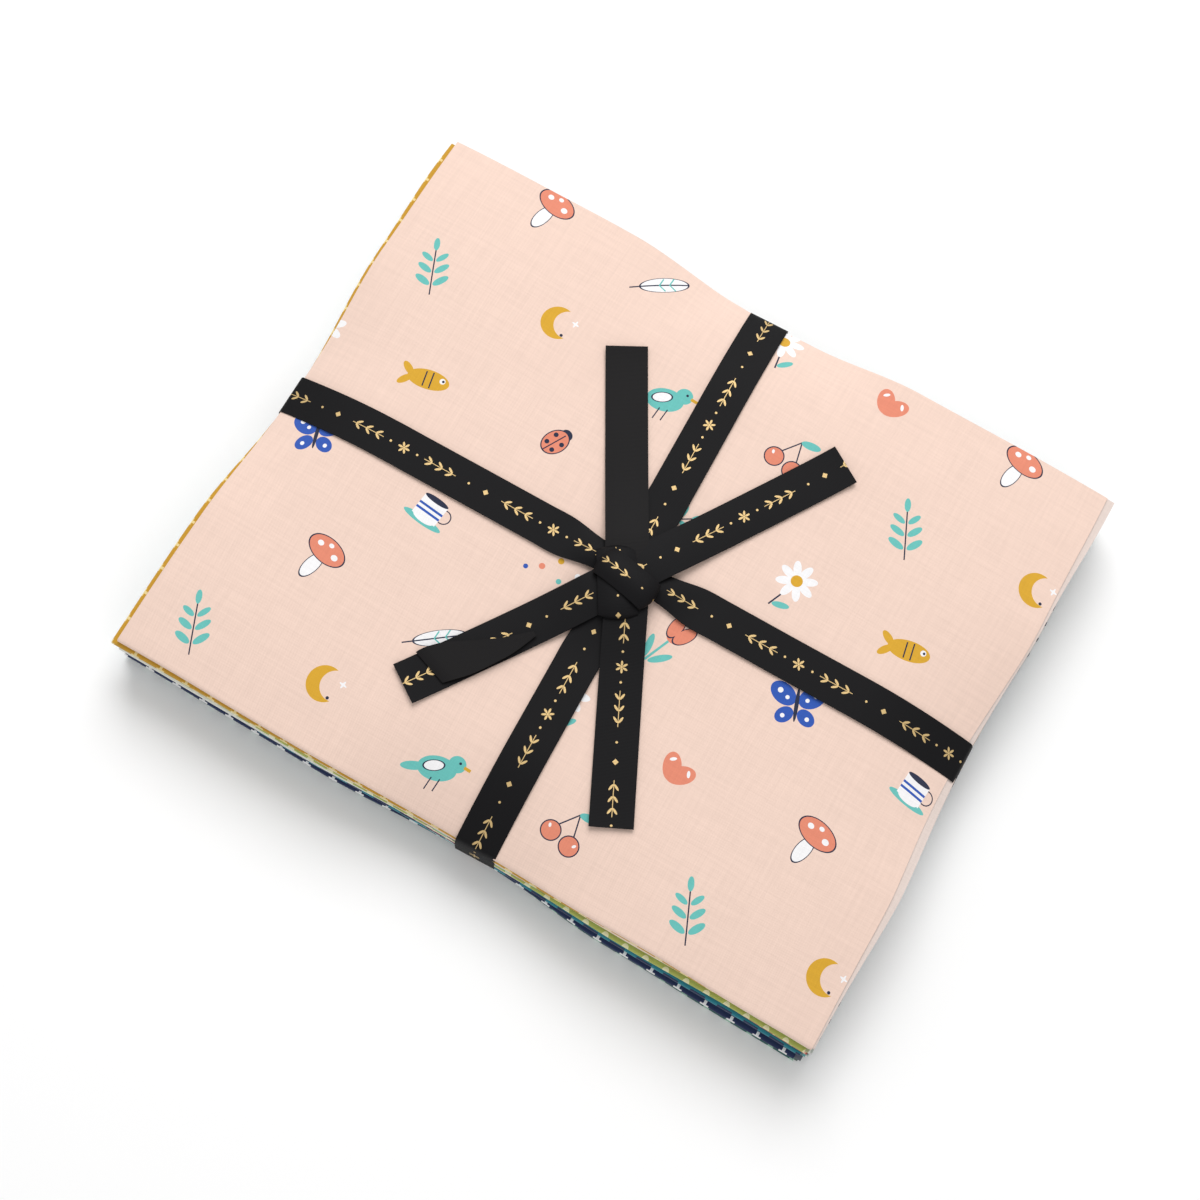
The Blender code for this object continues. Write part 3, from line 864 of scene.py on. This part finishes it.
def band_line(half, to_place, pull, knot_at, lift_bottom):
    """Rows of (x, y, z, width, cup) from the knot round the stack and back to the knot."""
    def out(way, share):
        crown = abs(2 * share - 1) ** 4
        return way * (half - pull - ROUND_OVER * crown)

    spans = range(BAND_SPANS + 1)
    reach = half - pull - ROUND_OVER - FROM_KNOT
    leave = [(min(knot_at + FROM_KNOT + reach * n / BAND_SPANS, out(1, 1.0)), 1.0) for n in spans]
    side = [(out(1, share), share) for share in (0.97, 0.9, 0.8, 0.65, 0.5, 0.35, 0.2, 0.1, 0.03)]
    under = [(out(1, 0.0) * n / 8, 0.0) for n in range(8, -9, -1)]
    back = [(-along, share) for along, share in reversed(side)]
    inward = knot_at - FROM_KNOT - out(-1, 1.0)
    home = [(out(-1, 1.0) + inward * n / BAND_SPANS, 1.0) for n in spans]
    raw = []
    for along, share in leave + side + under + back + home:
        place = to_place(along)
        raw.append(Vector((along, level_height(place.x, place.y, share))))
    rows = []
    for n, point in enumerate(raw):
        run = (raw[min(n + 1, len(raw) - 1)] - raw[max(n - 1, 0)]).normalized()
        on_top = n < len(spans) or n >= len(raw) - len(spans)
        to_knot = ease(1 - (abs(point.x - knot_at) - GATHER_START) / GATHER_RUN) if on_top else 0
        moved = point + Vector((-run.y, run.x)) * CLEAR + Vector((0, 1)) * to_knot * GATHER_RISE
        if point.y < 6 * MM and abs(point.x) < half * 0.8:
            moved.y = BENEATH + lift_bottom * ease(1.6 - abs(point.x) / (14 * MM))
        place = to_place(moved.x)
        rows.append((place.x + MIDDLE.x, place.y + MIDDLE.y, moved.y,
                     RIBBON_WIDTH * (1 - GATHER * to_knot), GATHER_CUP * to_knot))
    return smooth_line(rows, 1.6 * MM)


def slant(ends, share):
    return (ends[0] + (ends[1] - ends[0]) * (share + 1) / 2) * MM


long_line = band_line(HALF_LENGTH, lambda a: Vector((a, slant((-4, 0.5), a / HALF_LENGTH))),
                      PULL_IN_ENDS, KNOT.x, 0.0)
short_line = band_line(HALF_WIDTH, lambda a: Vector((slant((6.6, -2), a / HALF_WIDTH), a)),
                       PULL_IN_SIDES, KNOT.y, 0.6 * MM)
long_run = Vector((2 * HALF_LENGTH, 4.5 * MM, 0)).normalized()
short_run = Vector((-8.6 * MM, 2 * HALF_WIDTH, 0)).normalized()
UP = Vector((0, 0, 1))
for name, line, run, node in (("long_band", long_line, long_run, "ribbon_band_long"),
                              ("short_band", short_line, short_run, "ribbon_band_short")):
    band, length = strip(name, line, ribbon_finish, UP.cross(run))
    declare(band, node, length)
    print(name, round(length / MM), "mm")

# %% [markdown]
# Four ends leave the knot and lie on the cloth. The one at the lower left has folded over itself, so
# a flap of its plain reverse lies on its printed face.

# %% The free ends
TAILS = (  # name, where it leaves the knot, where it ends, and which side is up
    ("a", (0.5, 0.5), (-41.3, 73.1), -1),
    ("b", (4.5, -2.0), (50.1, 74.0), 1),
    ("c", (5.5, -8.0), (43.7, -85.1), 1),
    ("d", (1.0, -9.0), (-44.3, -78.2), 1),
)
LEVELS = ((0.0, 4.6), (0.10, 4.4), (0.2, 3.2), (0.35, 1.7), (0.55, 1.0), (0.8, 0.8), (0.93, 0.9), (1.0, 1.3))


PRINT_SHIFT, PRINT_TURN = 0.017, 0.05  # metres; where along the print each free end was cut


def tail_line(start, end):
    rows = []
    for share, up in LEVELS:
        x, y = ((a + (b - a) * share) * MM for a, b in zip(start, end))
        rows.append((x + MIDDLE.x, y + MIDDLE.y, surface(x, y) + up * MM, RIBBON_WIDTH,
                     0.5 * MM * (1 - share)))
    return smooth_line(rows, 2 * MM)


for name, start, end, side_up in TAILS:
    run = (Vector(end) - Vector(start)).normalized()
    sideways = UP.cross(Vector((run.x, run.y, 0)))
    tail, length = strip(f"free_end_{name}", tail_line(start, end), ribbon_finish, sideways, flip=side_up,
                         start=PRINT_SHIFT * ord(name) % PRINT_TURN)
    declare(tail, f"ribbon_tail_{name}", length)
    print("free end", name, round(length / MM), "mm")

FLAP = (  # its middle, its width, and how high it lies, all in millimetres
    (-14, -39, 2, 2.6), (-20, -47.5, 7, 2.4), (-26, -54, 11, 2.2),
    (-32.5, -60.5, 15, 2.1), (-37.5, -66, 15.4, 2.0), (-39.4, -68.5, 14.6, 1.5),
)
rows = [(x * MM + MIDDLE.x, y * MM + MIDDLE.y, surface(x * MM, y * MM) + up * MM, width * MM, 0.0)
        for x, y, width, up in FLAP]
flap_run = (Vector(FLAP[-1][:2]) - Vector(FLAP[0][:2])).normalized()
lean = Matrix.Rotation(math.radians(22), 3, "Z") @ UP.cross(Vector((flap_run.x, flap_run.y, 0)))
flap, length = strip("free_end_d_flap", smooth_line(rows, 1.5 * MM), ribbon_finish, lean, flip=-1)
declare(flap, None, length)
print("flap", round(length / MM), "mm")

# %% [markdown]
# The knot is two short wraps of the same ribbon, gathered narrower, one over the other.

# %% The knot
WRAPS = (  # bearing, half length, width, how high, and how far across from the knot's middle
    ("under_wrap", -58, 13.5, 14.0, 5.4, (-2.0, -2.5)),
    ("over_wrap", -10, 12.0, 12.0, 7.4, (0.5, 0.0)),
)


def wrap_line(bearing, half, width, high, shift):
    """An arch of ribbon that goes down under itself at both ends."""
    profile = ((-0.55, 0.2), (-0.85, 0.22), (-1.0, 0.45), (-0.93, 0.75), (-0.6, 0.97), (0, 1.05),
               (0.6, 0.97), (0.93, 0.75), (1.0, 0.45), (0.85, 0.22), (0.55, 0.2))
    angle = math.radians(bearing)
    base = surface(0, 0) + 1.6 * MM
    rows = []
    for along, up in profile:
        x = KNOT.x + shift[0] * MM + math.cos(angle) * along * half * MM
        y = KNOT.y + shift[1] * MM + math.sin(angle) * along * half * MM
        rows.append((x + MIDDLE.x, y + MIDDLE.y, base + up * high * MM, width * MM, 1.5 * MM))
    return smooth_line(rows, 0.8 * MM)


for name, bearing, half, width, high, shift in WRAPS:
    angle = math.radians(bearing)
    sideways = UP.cross(Vector((math.cos(angle), math.sin(angle), 0)))
    wrap, length = strip(name, wrap_line(bearing, half, width, high, shift), ribbon_finish, sideways)
    declare(wrap, "ribbon_knot" if name == "over_wrap" else None, length)
    print(name, round(length / MM), "mm")
